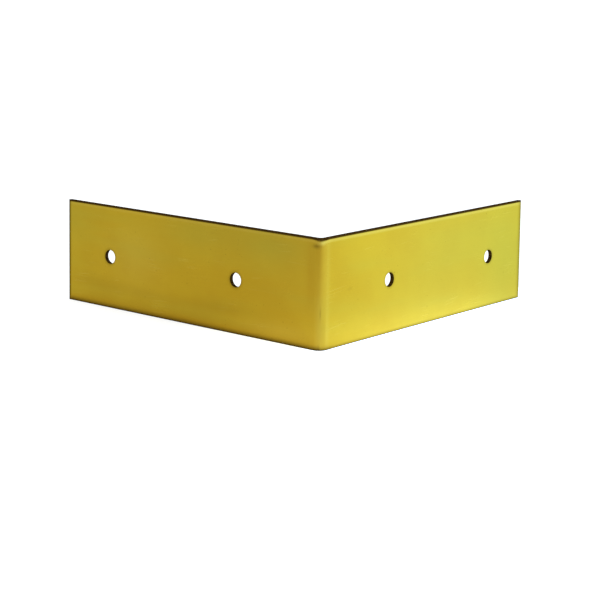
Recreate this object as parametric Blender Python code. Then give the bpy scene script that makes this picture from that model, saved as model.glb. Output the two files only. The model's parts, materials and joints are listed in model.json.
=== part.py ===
"""Corner kick plate: one strip of sheet brass, punched for four screws and folded to 90 degrees.

The plate stands on its lower edges and wraps round an outside corner. Its two legs are alike:
the left leg runs along X and faces -Y, and the right leg runs along Y and faces +X.
The origin is the middle of the bottom of the plate's bounding box. Metres, +Z up.
"""
import math

import bmesh
import bpy
from mathutils import Matrix, Vector

# Driving dimensions, in metres
LEG_LENGTH = 0.1016           # from the outer corner to the end of a leg
PLATE_HEIGHT = 0.03175
SHEET_THICKNESS = 0.0013
INNER_BEND_RADIUS = 0.0012
HOLE_DIAMETER = 0.0042        # just clears the shank of a No. 8 wood screw
HOLE_FROM_CORNER = 0.0318     # outer corner to the first hole's centre
HOLE_FROM_END = 0.0183        # end of the leg to the second hole's centre
EDGE_BREAK = 0.00012          # rounding left on every sheared edge

# Fineness of the round shapes
BEND_SEGMENTS = 16
HOLE_SEGMENTS = 40
EDGE_SEGMENTS = 2
SMOOTH_ANGLE = math.radians(30)

# Worked out from the above
OUTER_BEND_RADIUS = INNER_BEND_RADIUS + SHEET_THICKNESS
HALF_SPAN = LEG_LENGTH / 2
CORNER = Vector((HALF_SPAN, -HALF_SPAN, 0))   # where the two outer faces would meet
HOLE_HEIGHT = PLATE_HEIGHT / 2
HOLE_DISTANCES = (HOLE_FROM_CORNER, LEG_LENGTH - HOLE_FROM_END)

# Brass sheet, satin
BRASS_COLOUR = (0.50, 0.37, 0.04, 1)
BRASS_ROUGHNESS = 0.35


def clear_scene():
    for thing in list(bpy.data.objects):
        bpy.data.objects.remove(thing, do_unlink=True)


def brass():
    material = bpy.data.materials.new("brass_sheet")
    material.use_nodes = True
    shader = material.node_tree.nodes["Principled BSDF"]
    shader.inputs["Base Color"].default_value = BRASS_COLOUR
    shader.inputs["Metallic"].default_value = 1
    shader.inputs["Roughness"].default_value = BRASS_ROUGHNESS
    return material


def bend_arc(radius):
    """Points of the fold, from the left leg's face round to the right leg's face."""
    centre = CORNER + Vector((-OUTER_BEND_RADIUS, OUTER_BEND_RADIUS, 0))
    start = -math.pi / 2
    step = math.pi / 2 / BEND_SEGMENTS
    angles = [start + step * i for i in range(BEND_SEGMENTS + 1)]
    return [centre + radius * Vector((math.cos(a), math.sin(a), 0)) for a in angles]


def plate_outline():
    """Plan of the folded sheet, anticlockwise: outer faces out, inner faces back."""
    left_end = -HALF_SPAN
    right_end = HALF_SPAN
    front = [Vector((left_end, -HALF_SPAN, 0))] + bend_arc(OUTER_BEND_RADIUS)
    front.append(Vector((HALF_SPAN, right_end, 0)))
    back = [Vector((left_end, -HALF_SPAN + SHEET_THICKNESS, 0))] + bend_arc(INNER_BEND_RADIUS)
    back.append(Vector((HALF_SPAN - SHEET_THICKNESS, right_end, 0)))
    return front + back[::-1]


def folded_sheet():
    """The plan outline drawn up to the plate's height."""
    shape = bmesh.new()
    base = shape.faces.new([shape.verts.new(point) for point in plate_outline()])
    raised = bmesh.ops.extrude_face_region(shape, geom=[base], use_keep_orig=True)
    top = [item for item in raised["geom"] if isinstance(item, bmesh.types.BMVert)]
    bmesh.ops.translate(shape, verts=top, vec=(0, 0, PLATE_HEIGHT))
    bmesh.ops.recalc_face_normals(shape, faces=shape.faces)
    mesh = bpy.data.meshes.new("kick_plate")
    shape.to_mesh(mesh)
    shape.free()
    plate = bpy.data.objects.new("kick_plate", mesh)
    bpy.context.collection.objects.link(plate)
    return plate


def hole_places():
    """Each hole's centre in the sheet, and the direction that its axis runs in."""
    half_sheet = SHEET_THICKNESS / 2
    places = []
    for distance in HOLE_DISTANCES:
        on_left = CORNER + Vector((-distance, half_sheet, HOLE_HEIGHT))
        on_right = CORNER + Vector((-half_sheet, distance, HOLE_HEIGHT))
        places.append((on_left, Vector((0, -1, 0))))
        places.append((on_right, Vector((1, 0, 0))))
    return places


def punch_holes(plate):
    """One cutter holds the four punches, and a Boolean takes them out of the sheet."""
    punches = bmesh.new()
    for centre, axis in hole_places():
        turn = axis.to_track_quat("Z", "Y").to_matrix().to_4x4()
        bmesh.ops.create_cone(
            punches,
            cap_ends=True,
            segments=HOLE_SEGMENTS,
            radius1=HOLE_DIAMETER / 2,
            radius2=HOLE_DIAMETER / 2,
            depth=3 * SHEET_THICKNESS,
            matrix=Matrix.Translation(centre) @ turn,
        )
    mesh = bpy.data.meshes.new("punches")
    punches.to_mesh(mesh)
    punches.free()
    cutter = bpy.data.objects.new("punches", mesh)
    bpy.context.collection.objects.link(cutter)
    cutter.hide_render = True
    cutter.display_type = "WIRE"
    cut = plate.modifiers.new("punched holes", "BOOLEAN")
    cut.operation = "DIFFERENCE"
    cut.solver = "EXACT"
    cut.object = cutter


def break_edges(plate):
    ease = plate.modifiers.new("edge break", "BEVEL")
    ease.width = EDGE_BREAK
    ease.segments = EDGE_SEGMENTS
    ease.limit_method = "ANGLE"
    ease.angle_limit = SMOOTH_ANGLE


def make_kick_plate():
    plate = folded_sheet()
    plate.data.materials.append(brass())
    punch_holes(plate)
    break_edges(plate)
    plate.data.shade_smooth()
    plate.data.set_sharp_from_angle(angle=SMOOTH_ANGLE)


def main():
    clear_scene()
    make_kick_plate()


main()
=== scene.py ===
"""Looks of the corner kick plate: sheet brass, sheared, punched and folded, on a white studio floor.

The plate is drawn as a flat blank first. A point of the blank has s, its distance along the outer face
from the middle of the fold (negative on the left leg), z, its height, and a depth into the sheet.
Lengths are in metres.
"""
import json
import math

import bmesh
import bpy
from mathutils import Euler, Matrix, Vector, noise


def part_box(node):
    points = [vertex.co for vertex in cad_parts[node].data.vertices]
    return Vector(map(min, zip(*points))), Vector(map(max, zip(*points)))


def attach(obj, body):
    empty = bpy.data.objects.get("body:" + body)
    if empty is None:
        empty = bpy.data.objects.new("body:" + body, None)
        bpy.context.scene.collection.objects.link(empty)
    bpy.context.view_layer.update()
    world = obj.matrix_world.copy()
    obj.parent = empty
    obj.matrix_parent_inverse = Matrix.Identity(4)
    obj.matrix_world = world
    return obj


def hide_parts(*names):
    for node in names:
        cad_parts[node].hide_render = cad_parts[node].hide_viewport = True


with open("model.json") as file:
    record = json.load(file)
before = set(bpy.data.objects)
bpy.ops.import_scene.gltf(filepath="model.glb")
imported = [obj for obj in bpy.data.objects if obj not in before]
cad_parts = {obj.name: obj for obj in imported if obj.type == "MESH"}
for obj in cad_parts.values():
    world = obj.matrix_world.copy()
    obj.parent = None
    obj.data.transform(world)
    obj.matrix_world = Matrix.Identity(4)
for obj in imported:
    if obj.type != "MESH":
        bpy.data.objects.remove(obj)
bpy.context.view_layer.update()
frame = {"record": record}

# ---------------------------------------------------------------- sizes, from the frame and the record
LOW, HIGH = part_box("kick_plate")
LEG_LENGTH = HIGH.x - LOW.x
PLATE_HEIGHT = HIGH.z - LOW.z
MOUNTS = {mount["name"]: mount for mount in frame["record"]["mounts"]}
THICKNESS = MOUNTS["left_leg_back"]["pos_m"][1] - LOW.y
OUTER_RADIUS = 0.0025
HOLE_RADIUS = 0.0021
HOLE_FROM_CORNER = 0.0318
HOLE_FROM_END = 0.0183
CORNER = Vector((HIGH.x, LOW.y, LOW.z))                 # where the outer faces would meet
FOLD_CENTRE = CORNER + Vector((-OUTER_RADIUS, OUTER_RADIUS, 0))
HALF_ARC = OUTER_RADIUS * math.pi / 4                   # outer face, from the fold's middle to its end
BLANK_REACH = HALF_ARC + LEG_LENGTH - OUTER_RADIUS      # outer face, from the fold's middle to a leg's end
MID_HEIGHT = PLATE_HEIGHT / 2

# Section of a sheared or punched edge. The front rolls over, then come a smooth cut band and a broken
# band that lies a little further in, and the back keeps a small, nearly sharp corner
SHEAR_ROLL = 0.00018
PUNCH_ROLL = 0.00007
ROLL_STEPS = 6
CUT_BAND_END = 0.45           # shares of the thickness
BROKEN_BAND_START = 0.60
BROKEN_BAND_INSET = 0.00003
BACK_BREAK = 0.00004
BACK_BREAK_MIDDLE = 0.3       # share of the break by which its middle point lies inside the sharp corner

# Fineness of the mesh
RIM_STEPS = (0.0002, 0.0005, 0.0009, 0.0014, 0.0020)  # grid lines beside each cut edge
FLAT_PITCH = 0.0011
PATCH_HALF = 0.006            # half the side of the square of finer mesh round each hole
PATCH_CELLS = 18              # along each side of that square
PATCH_RINGS = 9
RING_CROWDING = 1.6           # above 1, the rings lie closer together near the hole
FOLD_CELLS = 32
FOLD_SIDE = 2 * HALF_ARC      # the mesh is fine out to here, from the fold's middle
FOLD_SIDE_PITCH = HALF_ARC / 4
SHARP_ANGLE = math.radians(40)
SAME_PLACE = 1e-7             # slack when places are compared

# Unevenness of the sheet
WAVE_DEPTH = 0.00006
WAVE_LENGTH = 0.024
WAVE_SLICE = 3.7              # which slice of the 3-D noise is used
DISH_DEPTH = 0.00009          # sheet drawn down round each punched hole
DISH_REACH = 0.0010
DRAW_IN_TOP = 0.00022         # outer face drawn in at the ends of the fold
DRAW_IN_FOOT = 0.00006
DRAW_REACH = 0.0018
DRAW_HALF = 1.5 * HALF_ARC    # no drawing in further than this from the fold's middle
CROWN_DEPTH = 0.00009         # legs spring back a little beside the fold
CROWN_REACH = 0.0028
END_SKEW = (0.00025, 0.0005)  # left and right ends cut a little out of square, shorter at the top

# Soft patches on the outer face: strength, s, z, half length and half height of each
RED_PATCHES = (
    # Painted reflected shadow: this one and two of the brown patches make a dark streak low on the left leg
    (0.34, -0.062, 0.0064, 0.024, 0.0018),
    (0.45, -0.052, 0.0010, 0.014, 0.0016),
    (0.20, -0.028, 0.0020, 0.012, 0.0020),
    (0.40, 0.012, 0.0170, 0.007, 0.0060),
    (0.42, 0.0055, 0.0240, 0.005, 0.0110),
    (0.80, 0.0003, 0.0300, 0.0016, 0.0150),
    (0.55, -0.0033, 0.0220, 0.0016, 0.0100),
    (0.30, -0.034, 0.0290, 0.034, 0.0050),
    (0.30, -0.040, 0.0150, 0.026, 0.0070),
)
GREEN_PATCHES = (
    (0.50, -0.046, 0.0275, 0.016, 0.0050),
    (0.35, -0.100, 0.0250, 0.009, 0.0120),
    (0.50, -0.018, 0.0270, 0.012, 0.0060),
    (0.30, 0.056, 0.0170, 0.022, 0.0250),
    (0.30, 0.070, 0.0230, 0.020, 0.0100),
    (0.90, 0.094, 0.0150, 0.016, 0.0220),
)
RUBBED_PATCHES = (
    (0.15, -0.072, 0.0170, 0.011, 0.0090),
    (0.15, -0.014, 0.0034, 0.014, 0.0026),
    (0.15, -0.0004, 0.0060, 0.0012, 0.0100),
    (0.10, 0.0012, 0.0160, 0.0016, 0.0300),
    (0.55, 0.0002, 0.0303, 0.0012, 0.0005),
    (0.16, 0.060, 0.0160, 0.056, 0.0500),
)
BROWN_PATCHES = (
    (0.48, -0.0014, 0.0296, 0.0012, 0.0005),
    (0.30, 0.0000, 0.0105, 0.00018, 0.0016),
    (0.12, 0.0125, 0.0160, 0.0009, 0.0005),
    # These two: painted reflected shadow, the dark streak low on the left leg
    (0.09, -0.088, 0.0073, 0.012, 0.0018),
    (0.08, -0.036, 0.0068, 0.014, 0.0017),
    (0.06, -0.020, 0.0280, 0.020, 0.0070),
)

# Painted shade: brown rims beside the cut edges that widen the dark edges, and along the left leg's
# foot a painted reflection of a contact shadow; round the holes only a darkening. Strength at the edge
# (1 or more is fully brown), reach, and how steeply each fades
TOP_RIM = (2, 0.0005, 1)
LEFT_FOOT_SHADOW_RIM = (1.15, 0.0019, 1.6)
RIGHT_FOOT_RIM = (0.7, 0.0010, 1)
LEFT_END_RIM = (1.4, 0.0012, 1.3)
RIGHT_END_RIM = (0.6, 0.0019, 1)
BACK_RIM = (0.5, 0.0006, 1)
LEFT_HOLE_RIM = (0.35, 0.0008, 1)
RIGHT_HOLE_RIM = (0.25, 0.0008, 1)
TOP_RIM_AT_FOLD = (0.00025, -0.0002, 0.0010)  # extra reach on the fold, its s and its half length
FOOT_CARRY = (0.6, 0.006)     # how much of the left foot's rim goes on round the fold, and how far

# Other marks that follow the edges and the fold, mostly painted shade and painted highlights
FOOT_SHADOW_RED = (0.8, 0.0040)      # painted reflected shadow, red-brown, along the left leg's foot: strength and height
TOP_GLINT_DROP = 0.0007       # a painted highlight line this far below the top edge's roll
TOP_GLINT_HALF = 0.00045
TOP_GLINT_STRENGTHS = (0.3, 0.9)  # on the left leg and on the right
FOLD_HIGHLIGHT = (0.09, 0.0026, 0.0007)  # painted highlight line just right of the fold: strength, s and half width
BACK_SHARE = 0.35             # how much of the front's tarnish, painted shade and painted highlights the back has


# ---------------------------------------------------------------- the blank
def through(stops, pitches):
    """Values from the first stop to the last, through every stop, spaced about a pitch apart."""
    values = [stops[0]]
    for low, high, pitch in zip(stops, stops[1:], pitches):
        count = max(1, round((high - low) / pitch))
        values += [low + (high - low) * step / count for step in range(1, count + 1)]
    return values


def hole_places():
    """s of each hole's centre, from the left leg's end to the right leg's."""
    flat_start = HALF_ARC - OUTER_RADIUS
    near = flat_start + HOLE_FROM_CORNER
    far = flat_start + LEG_LENGTH - HOLE_FROM_END
    return [-far, -near, near, far]


def blank_lines():
    """s and z of the grid's lines. The grid stops where the edges start to roll over."""
    fine = 2 * PATCH_HALF / PATCH_CELLS
    side = BLANK_REACH - SHEAR_ROLL
    left = [-side] + [-side + step for step in RIM_STEPS]
    pitches = [1] * len(RIM_STEPS)
    for place in hole_places()[:2]:
        left += [place - PATCH_HALF, place + PATCH_HALF]
        pitches += [FLAT_PITCH, fine]
    left += [-FOLD_SIDE, -HALF_ARC]
    pitches += [FLAT_PITCH, FOLD_SIDE_PITCH]
    stops = left + [-value for value in reversed(left)]
    s_lines = through(stops, pitches + [2 * HALF_ARC / FOLD_CELLS] + pitches[::-1])

    half = MID_HEIGHT - SHEAR_ROLL
    low = [-half] + [-half + step for step in RIM_STEPS] + [-PATCH_HALF]
    pitches = [1] * len(RIM_STEPS) + [FLAT_PITCH]
    stops = low + [-value for value in reversed(low)]
    z_lines = [MID_HEIGHT + value for value in through(stops, pitches + [fine] + pitches[::-1])]
    return s_lines, z_lines


def fold(s, z, depth):
    """Where a point of the blank is on the folded plate."""
    turn = max(-1, min(1, s / HALF_ARC))
    angle = (turn - 1) * math.pi / 4
    outward = Vector((math.cos(angle), math.sin(angle), 0))
    along = Vector((-math.sin(angle), math.cos(angle), 0))
    run = s - turn * HALF_ARC
    return FOLD_CENTRE + (OUTER_RADIUS - depth) * outward + run * along + Vector((0, 0, z))


def unevenness(s, z):
    """How far the sheet lies below its nominal face: soft waves, the fold's crown, a dish at each hole."""
    wave = noise.noise(Vector((s / WAVE_LENGTH, z / WAVE_LENGTH, WAVE_SLICE))) + 1
    crown = 1 - math.exp(-max(0, abs(s) - HALF_ARC) / CROWN_REACH)
    dish = 0
    for place in hole_places():
        from_rim = math.hypot(s - place, z - MID_HEIGHT) - HOLE_RADIUS
        dish += math.exp(-max(0, from_rim) / DISH_REACH)
    return WAVE_DEPTH * wave / 2 + CROWN_DEPTH * crown + DISH_DEPTH * dish


def drawn_in(s, z, depth):
    """Height after folding: the stretched outer face pulls in at the fold's top and bottom."""
    bent = max(0, 1 - (s / DRAW_HALF) ** 2)
    outer = max(0, 1 - depth / THICKNESS)
    from_top = PLATE_HEIGHT - z
    down = DRAW_IN_TOP * math.exp(-from_top / DRAW_REACH)
    up = DRAW_IN_FOOT * math.exp(-z / DRAW_REACH)
    return z + bent * outer * (up - down)


def squared_off(s, z):
    """s, moved in a little towards the top, because the blank's ends aren't quite square."""
    skew = END_SKEW[0] if s < 0 else END_SKEW[1]
    return s * (1 - skew * z / PLATE_HEIGHT / BLANK_REACH)


def edge_profile(roll):
    """(outward, depth) of a cut edge's section, from the front face's rolled rim round to the back face."""
    points = []
    for step in range(1, ROLL_STEPS + 1):
        angle = math.pi / 2 * step / ROLL_STEPS
        points.append((roll * math.sin(angle), roll * (1 - math.cos(angle))))
    broken = roll - BROKEN_BAND_INSET
    inset = BACK_BREAK_MIDDLE * BACK_BREAK
    points.append((roll, CUT_BAND_END * THICKNESS))
    points.append((broken, BROKEN_BAND_START * THICKNESS))
    points.append((broken, THICKNESS - BACK_BREAK))
    points.append((broken - inset, THICKNESS - inset))
    points.append((broken - BACK_BREAK, THICKNESS))
    return points


# ---------------------------------------------------------------- tarnish, wear, painted shade and painted highlights over the blank
def fade(distance, reach):
    """1 at no distance, falling evenly to 0 at the reach."""
    return max(0, 1 - max(0, distance) / reach)


def rim(distance, strength, reach, steepness):
    """Strength of a rim's brown, or of another mark like it, at a distance from its edge."""
    return strength * fade(distance, reach) ** steepness


def blooms(patches, s, z):
    """Summed strength of soft oval patches at a place on the blank."""
    total = 0
    for strength, middle_s, middle_z, half_s, half_z in patches:
        total += strength * math.exp(-((s - middle_s) / half_s) ** 2 - ((z - middle_z) / half_z) ** 2)
    return total


def rim_shade(s, z):
    """Painted shade on the outer face beside its cut edges, with a painted reflected shadow along the left
    leg's foot, and brown patches: 1 is as dark as the cut edge itself.
    """
    # The top edge: painted shade that widens the dark cut edge, reaching further at the fold
    strength, reach, steepness = TOP_RIM
    extra, fold_s, fold_half = TOP_RIM_AT_FOLD
    reach += extra * math.exp(-((s - fold_s) / fold_half) ** 2)
    top = rim(PLATE_HEIGHT - z - SHEAR_ROLL, strength, reach, steepness)
    # The left leg's foot: painted reflection of a contact shadow
    left_foot = rim(z, *LEFT_FOOT_SHADOW_RIM)
    right_foot = rim(z, *RIGHT_FOOT_RIM)
    carried = (left_foot - right_foot) * rim(s, *FOOT_CARRY, 1)
    foot = left_foot if s < 0 else right_foot + carried
    left_end = rim(BLANK_REACH + s, *LEFT_END_RIM)
    right_end = rim(BLANK_REACH - s, *RIGHT_END_RIM)
    return min(1, max(top, foot, left_end, right_end, blooms(BROWN_PATCHES, s, z)))


def back_shade(s, z):
    """Painted shade on the inner face, which has only a thin brown rim."""
    from_edge = min(z, PLATE_HEIGHT - z, BLANK_REACH - abs(s))
    return rim(from_edge - SHEAR_ROLL, *BACK_RIM)


def punch_shade(s, z, centre):
    """Darkening round a punched hole, towards the cut edge's brown."""
    from_rim = math.hypot(s - centre, z - MID_HEIGHT) - HOLE_RADIUS - PUNCH_ROLL
    return rim(from_rim, *(LEFT_HOLE_RIM if s < 0 else RIGHT_HOLE_RIM))


def tarnish_and_painted_light(s, z):
    """Strengths of red tarnishing with the painted shadow along the left leg's foot, of green tarnishing,
    and of burnishing with painted highlights below the top edge and beside the fold, at a place on the
    outer face.
    """
    red = blooms(RED_PATCHES, s, z)
    if s < 0:
        # Painted reflected shadow, red-brown, along the left leg's foot
        red += rim(z, *FOOT_SHADOW_RED, 1)
    green = blooms(GREEN_PATCHES, s, z)
    # A painted highlight line just below the top edge's dark rim
    below_top = PLATE_HEIGHT - z - SHEAR_ROLL
    glint = TOP_GLINT_STRENGTHS[0] if s < 0 else TOP_GLINT_STRENGTHS[1]
    burnish_and_highlight = rim(abs(below_top - TOP_GLINT_DROP), glint, TOP_GLINT_HALF, 1)
    # A painted highlight line just right of the fold
    strength, mark_s, mark_half = FOLD_HIGHLIGHT
    burnish_and_highlight += strength * math.exp(-((s - mark_s) / mark_half) ** 2)
    burnish_and_highlight += blooms(RUBBED_PATCHES, s, z)
    return red, green, burnish_and_highlight


# ---------------------------------------------------------------- the plate's mesh
class Sheet:
    """Collects the plate's vertices and faces, with each vertex's place on the blank and its marks, painted
    shade and painted highlights among them.
    """

    def __init__(self):
        self.shape = bmesh.new()
        self.blank = self.shape.verts.layers.float_vector.new("blank")
        # Edge: 1 on the cut edges, painted shade beside them, and the darkening round each hole
        self.edge = self.shape.verts.layers.float.new("edge")
        # Red tarnishing with painted shadow, green tarnishing, and burnishing with painted highlights
        self.tarnish_and_painted_light = self.shape.verts.layers.float_vector.new("tarnish_and_painted_light")

    def vert(self, s, z, depth, edge):
        seat = fold(squared_off(s, z), drawn_in(s, z, depth), depth + unevenness(s, z))
        vert = self.shape.verts.new(seat)
        share = BACK_SHARE if depth > THICKNESS / 2 else 1
        vert[self.blank] = (s, z, depth)
        vert[self.edge] = edge
        vert[self.tarnish_and_painted_light] = [share * strength for strength in tarnish_and_painted_light(s, z)]
        return vert

    def quads(self, inner, outer):
        """Faces between two closed rows of vertices."""
        for index in range(len(inner)):
            after = (index + 1) % len(inner)
            self.shape.faces.new((inner[index], inner[after], outer[after], outer[index]))


def patch_points(centre):
    """Rings of (s, z) from the hole's rolled rim out to the square of finer mesh, the square last."""
    square = []
    for side in range(4):
        quarter = Matrix.Rotation(side * math.pi / 2, 2)
        for cell in range(PATCH_CELLS):
            slide = -1 + 2 * cell / PATCH_CELLS
            square.append(quarter @ Vector((PATCH_HALF, slide * PATCH_HALF)))
    rings = []
    for ring in range(PATCH_RINGS + 1):
        share = (ring / PATCH_RINGS) ** RING_CROWDING
        row = []
        for corner in square:
            circle = corner.normalized() * (HOLE_RADIUS + PUNCH_ROLL)
            place = circle.lerp(corner, share)
            row.append((centre + place.x, MID_HEIGHT + place.y))
        rings.append(row)
    return rings


def in_patch(s, z):
    """Whether a cell's middle is inside the finer square round a hole."""
    if abs(z - MID_HEIGHT) > PATCH_HALF - SAME_PLACE:
        return False
    return any(abs(s - place) < PATCH_HALF - SAME_PLACE for place in hole_places())


class BroadFace:
    """The front or the back face of the sheet: a grid of quads, and finer rings round each hole.

    outer_rim and each of hole_rims are rows of (vert, s, z, outward): s and z are those of the front
    face's rim, and outward points off the metal.
    """

    def __init__(self, sheet, front):
        self.sheet = sheet
        self.front = front
        self.depth = 0 if front else THICKNESS
        self.s_lines, self.z_lines = blank_lines()
        self.last_i = len(self.s_lines) - 1
        self.last_j = len(self.z_lines) - 1
        self.shear_spread = self.spread(SHEAR_ROLL)
        self.punch_spread = self.spread(PUNCH_ROLL)
        self.grid = {}
        self.fill_grid()
        self.by_place = {(round(s, 6), round(z, 6)): (i, j)
                         for i, s in enumerate(self.s_lines) for j, z in enumerate(self.z_lines)}
        self.hole_rims = [self.hole_rim(centre) for centre in hole_places()]
        self.outer_rim = [self.rim_entry(i, j) for i, j in self.border()]

    def spread(self, roll):
        """How much further out than the front face's rim this face's rim lies."""
        return 0 if self.front else edge_profile(roll)[-1][0]

    def outward(self, i, j):
        """Direction off the sheet in s and z: zero except on the grid's border."""
        return Vector(((i == self.last_i) - (i == 0), (j == self.last_j) - (j == 0)))

    def grid_vert(self, i, j):
        if (i, j) not in self.grid:
            off = self.outward(i, j)
            s = self.s_lines[i] + self.shear_spread * off.x
            z = self.z_lines[j] + self.shear_spread * off.y
            shade = rim_shade(s, z) if self.front else back_shade(s, z)
            self.grid[i, j] = self.sheet.vert(s, z, self.depth, shade)
        return self.grid[i, j]

    def add(self, corners):
        self.sheet.shape.faces.new(corners if self.front else corners[::-1])

    def fill_grid(self):
        for i in range(self.last_i):
            for j in range(self.last_j):
                middle_s = (self.s_lines[i] + self.s_lines[i + 1]) / 2
                middle_z = (self.z_lines[j] + self.z_lines[j + 1]) / 2
                if not in_patch(middle_s, middle_z):
                    places = ((i, j), (i + 1, j), (i + 1, j + 1), (i, j + 1))
                    self.add([self.grid_vert(*place) for place in places])

    def hole_rim(self, centre):
        """Makes the rings between a hole and the grid, and returns the hole's rim."""
        rings = patch_points(centre)
        off = [Vector((centre - s, MID_HEIGHT - z)).normalized() for s, z in rings[0]]
        rows = []
        for ring, row in enumerate(rings[:-1]):
            spread = self.punch_spread if ring == 0 else 0
            places = [(s + way.x * spread, z + way.y * spread) for (s, z), way in zip(row, off)]
            rows.append([self.sheet.vert(s, z, self.depth, punch_shade(s, z, centre)) for s, z in places])
        rows.append([self.grid[self.by_place[round(s, 6), round(z, 6)]] for s, z in rings[-1]])
        for inner, outer in zip(rows, rows[1:]):
            for index in range(len(inner)):
                after = (index + 1) % len(inner)
                self.add([inner[index], outer[index], outer[after], inner[after]])
        return [(vert, s, z, way) for vert, (s, z), way in zip(rows[0], rings[0], off)]

    def border(self):
        """i and j of the grid's border, once round."""
        walk = [(i, 0) for i in range(self.last_i)]
        walk += [(self.last_i, j) for j in range(self.last_j)]
        walk += [(i, self.last_j) for i in range(self.last_i, 0, -1)]
        walk += [(0, j) for j in range(self.last_j, 0, -1)]
        return walk

    def rim_entry(self, i, j):
        return self.grid[i, j], self.s_lines[i], self.z_lines[j], self.outward(i, j)


def cut_edge(sheet, roll, front_rim, back_rim):
    """The rolled, cut and broken edge between the front face's rim and the back face's."""
    before = [entry[0] for entry in front_rim]
    for out, depth in edge_profile(roll)[:-1]:
        row = [sheet.vert(s + out * way.x, z + out * way.y, depth, 1) for vert, s, z, way in front_rim]
        sheet.quads(row, before)
        before = row
    sheet.quads([entry[0] for entry in back_rim], before)


def make_plate():
    sheet = Sheet()
    front = BroadFace(sheet, front=True)
    back = BroadFace(sheet, front=False)
    cut_edge(sheet, SHEAR_ROLL, front.outer_rim, back.outer_rim)
    for front_rim, back_rim in zip(front.hole_rims, back.hole_rims):
        cut_edge(sheet, PUNCH_ROLL, front_rim, back_rim)
    bmesh.ops.recalc_face_normals(sheet.shape, faces=sheet.shape.faces)
    mesh = bpy.data.meshes.new("brass_plate")
    sheet.shape.to_mesh(mesh)
    sheet.shape.free()
    mesh.shade_smooth()
    mesh.set_sharp_from_angle(angle=SHARP_ANGLE)
    plate = bpy.data.objects.new("brass_plate", mesh)
    bpy.context.collection.objects.link(plate)
    return plate


# ---------------------------------------------------------------- node trees
class Nodes:
    """Short calls for building the node tree of a material or a world."""

    def __init__(self, owner):
        owner.use_nodes = True
        self.owner = owner
        self.tree = owner.node_tree
        self.shader = self.tree.nodes.get("Principled BSDF")

    def add(self, kind, **values):
        node = self.tree.nodes.new(kind)
        for key, value in values.items():
            setattr(node, key, value)
        return node

    def link(self, source, target):
        self.tree.links.new(source, target)

    def attribute(self, name, output):
        return self.add("ShaderNodeAttribute", attribute_name=name).outputs[output]

    def split(self, vector):
        """The vector's X, Y and Z."""
        node = self.add("ShaderNodeSeparateXYZ")
        self.link(vector, node.inputs[0])
        return node.outputs

    def noise(self, vector, scale, detail=2, roughness=0.5):
        node = self.add("ShaderNodeTexNoise")
        self.link(vector, node.inputs["Vector"])
        node.inputs["Scale"].default_value = scale
        node.inputs["Detail"].default_value = detail
        node.inputs["Roughness"].default_value = roughness
        return node.outputs["Fac"]

    def stretched(self, vector, scale, rotation=(0, 0, 0), location=(0, 0, 0)):
        node = self.add("ShaderNodeMapping")
        self.link(vector, node.inputs["Vector"])
        node.inputs["Scale"].default_value = scale
        node.inputs["Rotation"].default_value = rotation
        node.inputs["Location"].default_value = location
        return node.outputs["Vector"]

    def ramp(self, value, low, high, out_low=0, out_high=1):
        """A smooth step from out_low to out_high, as the value goes from low to high."""
        node = self.add("ShaderNodeMapRange", interpolation_type="SMOOTHSTEP")
        self.link(value, node.inputs["Value"])
        node.inputs["From Min"].default_value = low
        node.inputs["From Max"].default_value = high
        node.inputs["To Min"].default_value = out_low
        node.inputs["To Max"].default_value = out_high
        return node.outputs["Result"]

    def math(self, operation, first, second):
        node = self.add("ShaderNodeMath", operation=operation)
        for socket, value in zip(node.inputs, (first, second)):
            if isinstance(value, (int, float)):
                socket.default_value = value
            else:
                self.link(value, socket)
        return node.outputs["Value"]

    def measure(self, operation, vector, other):
        """The dot product or the distance of a vector and a fixed one."""
        node = self.add("ShaderNodeVectorMath", operation=operation)
        self.link(vector, node.inputs[0])
        node.inputs[1].default_value = other
        return node.outputs["Value"]

    def plus(self, first, second):
        """The sum of two colours."""
        node = self.add("ShaderNodeVectorMath", operation="ADD")
        self.link(first, node.inputs[0])
        self.link(second, node.inputs[1])
        return node.outputs["Vector"]

    def mix(self, factor, first, second):
        """From the first colour to the second as the factor goes from 0 to 1."""
        node = self.add("ShaderNodeMix", data_type="RGBA")
        sockets = (node.inputs[0], node.inputs[6], node.inputs[7])
        for socket, value in zip(sockets, (factor, first, second)):
            if isinstance(value, (int, float, tuple)):
                socket.default_value = value
            else:
                self.link(value, socket)
        return node.outputs[2]


# ---------------------------------------------------------------- brass
CLEAN = (0.380, 0.248, 0.0140, 1)
# Red tarnish, also the colour of the painted reflected shadow low on the left leg
RED_TARNISH_AND_SHADE = (0.330, 0.190, 0.0088, 1)
GREEN_TARNISH = (0.318, 0.257, 0.0245, 1)
# Burnished brass for scratches and rubbed patches, also the colour of the painted highlights
BURNISH_AND_HIGHLIGHT = (0.46, 0.36, 0.068, 1)
# Painted shade: the cut edges' dark brown stands in for the shade they lie in; the freckles use it too
EDGE_SHADE_AND_FRECKLE = (0.020, 0.009, 0.0016, 1)
EDGE_SHADE_STREAK = (0.060, 0.032, 0.0060, 1)
GRAZING_TINT = (0.97, 0.91, 0.56, 1)       # keeps the metal yellow where it is seen at a flat angle

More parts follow.
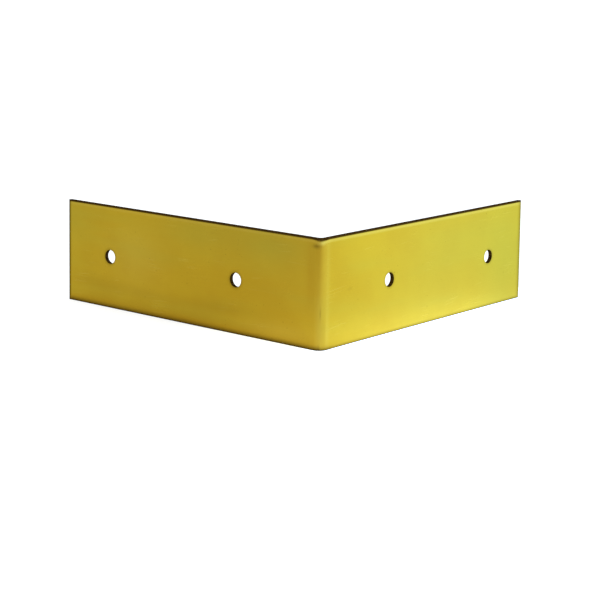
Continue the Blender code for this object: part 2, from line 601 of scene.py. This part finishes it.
# Noise over the blank. A scale is in cells per metre: one number, or one each along s, z and depth. As
# the noise rises through its range, its effect goes from least to most
CLOUD_SCALE = 55
CLOUD_RANGE = (0.38, 0.66)
CLOUD_STRENGTH = 0.32
STREAK_SCALE = (18, 130, 60)
STREAK_RANGE = (0.42, 0.72)
STREAK_STRENGTH = 0.30
FRECKLE_SCALE = 1500
FRECKLE_RANGE = (0.68, 0.76)
FRECKLE_AREA_SCALE = 70
FRECKLE_AREA_RANGE = (0.50, 0.62)
FRECKLE_STRENGTH = 0.30
SCRATCH_SETS = ((0.03, 0), (-0.09, 4))     # angle to the sheet's length in radians, and a shift
SCRATCH_SCALE = (70, 3200, 0)
SCRATCH_RANGE = (0.72, 0.78)
SCRATCH_RUN_SCALE = 110
SCRATCH_RUN_RANGE = (0.52, 0.62)
SCRATCH_STRENGTH = 0.20
SCRATCH_POLISH = 0.06                      # taken off the roughness in a scratch
SHEAR_MARK_SCALE = (2600, 2600, 300)
SHEAR_MARK_RANGE = (0.35, 0.75)
GRAIN_SCALE = (40, 5200, 5200)
GRAIN_RANGE = (0.3, 0.7)
GRAIN_ROUGHNESS = (-0.04, 0.04)
GRAIN_BUMP = 0.25
GRAIN_HEIGHT = 0.00002
HANDLING_SCALE = 90
HANDLING_RANGE = (0.3, 0.7)
HANDLING_ROUGHNESS = (0.30, 0.38)          # from clean places to handled ones

# Where the edge attribute makes the surface rougher, and where it takes the metal's shine away
EDGE_ROUGH_RANGE = (0.2, 1)
EDGE_ROUGHNESS = 0.22
EDGE_DULL_RANGE = (0.3, 1)


def hairlines(nodes, blank, angle, shift):
    """Sparse fine scratches, nearly along the sheet, in broken runs."""
    turned = nodes.stretched(blank, (1, 1, 1), rotation=(0, 0, angle))
    drawn_out = nodes.stretched(turned, SCRATCH_SCALE, location=(shift, shift, shift))
    lines = nodes.noise(drawn_out, 1, detail=0)
    shifted = nodes.stretched(blank, (1, 1, 1), location=(shift, 0, 0))
    runs = nodes.noise(shifted, SCRATCH_RUN_SCALE, detail=1)
    return nodes.math("MULTIPLY", nodes.ramp(lines, *SCRATCH_RANGE), nodes.ramp(runs, *SCRATCH_RUN_RANGE))


def brass_tarnish_and_painted_light(nodes, blank):
    """Colour of the broad faces: cloudy and streaky brass with red, green and rubbed patches, and the
    painted shade and painted highlights carried by the red and rubbed strengths.
    """
    red, green, burnish_and_highlight = nodes.split(nodes.attribute("tarnish_and_painted_light", "Vector"))
    clouds = nodes.noise(blank, CLOUD_SCALE, detail=3, roughness=0.55)
    streaks = nodes.noise(nodes.stretched(blank, STREAK_SCALE), 1, detail=2)
    colour = nodes.mix(nodes.ramp(clouds, *CLOUD_RANGE, 0, CLOUD_STRENGTH), CLEAN, RED_TARNISH_AND_SHADE)
    colour = nodes.mix(nodes.ramp(streaks, *STREAK_RANGE, 0, STREAK_STRENGTH), colour, GREEN_TARNISH)
    colour = nodes.mix(red, colour, RED_TARNISH_AND_SHADE)
    colour = nodes.mix(green, colour, GREEN_TARNISH)
    return nodes.mix(burnish_and_highlight, colour, BURNISH_AND_HIGHLIGHT)


def freckled(nodes, blank, colour):
    """The colour with small brown freckles, in loose groups."""
    specks = nodes.ramp(nodes.noise(blank, FRECKLE_SCALE, detail=1), *FRECKLE_RANGE)
    areas = nodes.ramp(nodes.noise(blank, FRECKLE_AREA_SCALE, detail=2), *FRECKLE_AREA_RANGE)
    freckles = nodes.math("MULTIPLY", specks, areas)
    return nodes.mix(nodes.math("MULTIPLY", freckles, FRECKLE_STRENGTH), colour, EDGE_SHADE_AND_FRECKLE)


def brass_material():
    """Satin rolled brass: cloudy tarnishing, rolling grain, handling marks, brown cut edges and rims that
    are painted shade, and painted highlights.
    """
    nodes = Nodes(bpy.data.materials.new("satin_brass"))
    blank = nodes.attribute("blank", "Vector")
    edge = nodes.attribute("edge", "Fac")

    scratches = nodes.math("MAXIMUM", *(hairlines(nodes, blank, *values) for values in SCRATCH_SETS))
    colour = brass_tarnish_and_painted_light(nodes, blank)
    colour = nodes.mix(nodes.math("MULTIPLY", scratches, SCRATCH_STRENGTH), colour, BURNISH_AND_HIGHLIGHT)
    colour = freckled(nodes, blank, colour)
    # The cut edges take the painted shade colour, streaked by shear marks
    shear_marks = nodes.noise(nodes.stretched(blank, SHEAR_MARK_SCALE), 1, detail=2)
    sheared = nodes.mix(nodes.ramp(shear_marks, *SHEAR_MARK_RANGE), EDGE_SHADE_AND_FRECKLE, EDGE_SHADE_STREAK)
    nodes.link(nodes.mix(edge, colour, sheared), nodes.shader.inputs["Base Color"])

    grain = nodes.noise(nodes.stretched(blank, GRAIN_SCALE), 1, detail=3, roughness=0.6)
    handling = nodes.noise(blank, HANDLING_SCALE, detail=4, roughness=0.6)
    rough = nodes.math("ADD", nodes.ramp(grain, *GRAIN_RANGE, *GRAIN_ROUGHNESS),
                       nodes.ramp(handling, *HANDLING_RANGE, *HANDLING_ROUGHNESS))
    rough = nodes.math("ADD", rough, nodes.ramp(edge, *EDGE_ROUGH_RANGE, 0, EDGE_ROUGHNESS))
    rough = nodes.math("SUBTRACT", rough, nodes.math("MULTIPLY", scratches, SCRATCH_POLISH))
    nodes.link(rough, nodes.shader.inputs["Roughness"])
    nodes.link(nodes.ramp(edge, *EDGE_DULL_RANGE, 1, 0), nodes.shader.inputs["Metallic"])
    nodes.shader.inputs["Specular IOR Level"].default_value = 0
    nodes.shader.inputs["Specular Tint"].default_value = GRAZING_TINT

    bump = nodes.add("ShaderNodeBump")
    bump.inputs["Strength"].default_value = GRAIN_BUMP
    bump.inputs["Distance"].default_value = GRAIN_HEIGHT
    nodes.link(grain, bump.inputs["Height"])
    nodes.link(bump.outputs["Normal"], nodes.shader.inputs["Normal"])
    return nodes.owner


# ---------------------------------------------------------------- studio
KEY_SIDE = (0.632, 0.775, 0)               # the way towards the brighter side of the studio
SKY_DIM = (1.03, 1.03, 1.03, 1)
SKY_BRIGHT = (1.76, 2.11, 2.42, 1)
SKY_KEY_X = (-0.4, 0.6)
SKY_KEY_RANGE = (-1, 1)
FLOOR_RADIUS = 6
FLOOR_SEGMENTS = 96
FLOOR_WHITE = (0.5, 0.5, 0.5, 1)
FLOOR_ROUGHNESS = 0.9
FLOOR_DIM = (0.60, 0.60, 0.60, 1)
FLOOR_BRIGHT = (1.17, 1.48, 1.57, 1)
FLOOR_KEY_X = (0.030, 0.090)
FLOOR_KEY_RANGE = (-0.08, 0.10)

# Light thrown back on the floor at the right leg's foot. It starts under the leg and fades away from it
FOOT_GLOW = (1.20, 1.65, 2.9, 1)
FOOT_GLOW_START_X = (HIGH.x - 0.010, HIGH.x - 0.002)
FOOT_GLOW_END_X = (HIGH.x - 0.002, HIGH.x + 0.034)
FOOT_GLOW_START_Y = (-0.062, -0.020)
FOOT_GLOW_END_Y = (0.015, 0.075)
FOOT_GLOW_LEFT = 0.35                      # share that is left at the leg's far end

# And in front of the fold
CORNER_GLOW = (0.33, 0.31, 0.11, 1)
CORNER_GLOW_PLACE = (CORNER.x - 0.012, CORNER.y - 0.012, 0)
CORNER_GLOW_RANGE = (0.005, 0.045)
NO_GLOW = (0, 0, 0, 1)


def key_share(nodes, vector, x_range, key_range):
    """0 to 1: how far a place or direction lies on the right and towards the key side."""
    right = nodes.ramp(nodes.split(vector)["X"], *x_range)
    towards_key = nodes.ramp(nodes.measure("DOT_PRODUCT", vector, KEY_SIDE), *key_range)
    return nodes.math("MULTIPLY", right, towards_key)


def floor_glow(nodes):
    """Colour of the floor's own light."""
    place = nodes.add("ShaderNodeTexCoord").outputs["Object"]
    across = nodes.split(place)
    glow = nodes.mix(key_share(nodes, place, FLOOR_KEY_X, FLOOR_KEY_RANGE), FLOOR_DIM, FLOOR_BRIGHT)
    near = nodes.ramp(across["X"], *FOOT_GLOW_END_X, 1, 0)
    near = nodes.math("MULTIPLY", near, nodes.ramp(across["X"], *FOOT_GLOW_START_X))
    near = nodes.math("MULTIPLY", near, nodes.ramp(across["Y"], *FOOT_GLOW_START_Y))
    near = nodes.math("MULTIPLY", near, nodes.ramp(across["Y"], *FOOT_GLOW_END_Y, 1, FOOT_GLOW_LEFT))
    glow = nodes.plus(glow, nodes.mix(near, NO_GLOW, FOOT_GLOW))
    away = nodes.ramp(nodes.measure("DISTANCE", place, CORNER_GLOW_PLACE), *CORNER_GLOW_RANGE)
    return nodes.plus(glow, nodes.mix(away, CORNER_GLOW, NO_GLOW))


def white_floor():
    """A white table that glows a little, so that no shadow greys it, and more beside the right leg."""
    shape = bmesh.new()
    bmesh.ops.create_circle(shape, cap_ends=True, segments=FLOOR_SEGMENTS, radius=FLOOR_RADIUS)
    mesh = bpy.data.meshes.new("floor")
    shape.to_mesh(mesh)
    shape.free()
    floor = bpy.data.objects.new("floor", mesh)
    floor.location.z = LOW.z
    bpy.context.collection.objects.link(floor)
    nodes = Nodes(bpy.data.materials.new("white_floor"))
    nodes.link(floor_glow(nodes), nodes.shader.inputs["Emission Color"])
    nodes.shader.inputs["Emission Strength"].default_value = 1
    nodes.shader.inputs["Base Color"].default_value = FLOOR_WHITE
    nodes.shader.inputs["Roughness"].default_value = FLOOR_ROUGHNESS
    nodes.shader.inputs["Specular IOR Level"].default_value = 0
    mesh.materials.append(nodes.owner)


def white_world():
    """White all round, brighter on the key side."""
    world = bpy.data.worlds.new("studio")
    bpy.context.scene.world = world
    nodes = Nodes(world)
    direction = nodes.add("ShaderNodeTexCoord").outputs["Generated"]
    share = key_share(nodes, direction, SKY_KEY_X, SKY_KEY_RANGE)
    nodes.link(nodes.mix(share, SKY_DIM, SKY_BRIGHT), nodes.tree.nodes["Background"].inputs["Color"])


# ---------------------------------------------------------------- camera
# Azimuth 0 looks along +Y, 90 looks along -X
CAMERA_AZIMUTH = 39.57
CAMERA_ELEVATION = 9.74
CAMERA_ROLL = 0.92
CAMERA_DISTANCE = 14.7 * PLATE_HEIGHT
CAMERA_SENSOR = 36
CAMERA_LENS = 101.3
CAMERA_SHIFT_UP = -0.11
CAMERA_AIM = Vector((-0.174, 1.029, 0))    # across and up from the fold's foot, in heights of the plate


def studio_camera():
    """Three-quarter view from slightly above, with the outer corner towards the camera."""
    azimuth = math.radians(CAMERA_AZIMUTH)
    elevation = math.radians(CAMERA_ELEVATION)
    data = bpy.data.cameras.new("camera")
    data.sensor_width = CAMERA_SENSOR
    data.lens = CAMERA_LENS
    data.shift_y = CAMERA_SHIFT_UP
    camera = bpy.data.objects.new("camera", data)
    back = Vector((math.sin(azimuth) * math.cos(elevation), -math.cos(azimuth) * math.cos(elevation),
                   math.sin(elevation)))
    level = back.to_track_quat("Z", "Y")
    turned = level @ Euler((0, 0, math.radians(CAMERA_ROLL))).to_quaternion()
    aim = CORNER + turned @ CAMERA_AIM * PLATE_HEIGHT
    camera.location = aim + back * CAMERA_DISTANCE
    camera.rotation_euler = turned.to_euler()
    bpy.context.collection.objects.link(camera)
    bpy.context.scene.camera = camera


# ---------------------------------------------------------------- put together
plate = make_plate()
plate.data.materials.append(brass_material())
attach(plate, "root")
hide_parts("kick_plate")

white_floor()
white_world()
studio_camera()
bpy.context.scene.view_settings.view_transform = "Standard"
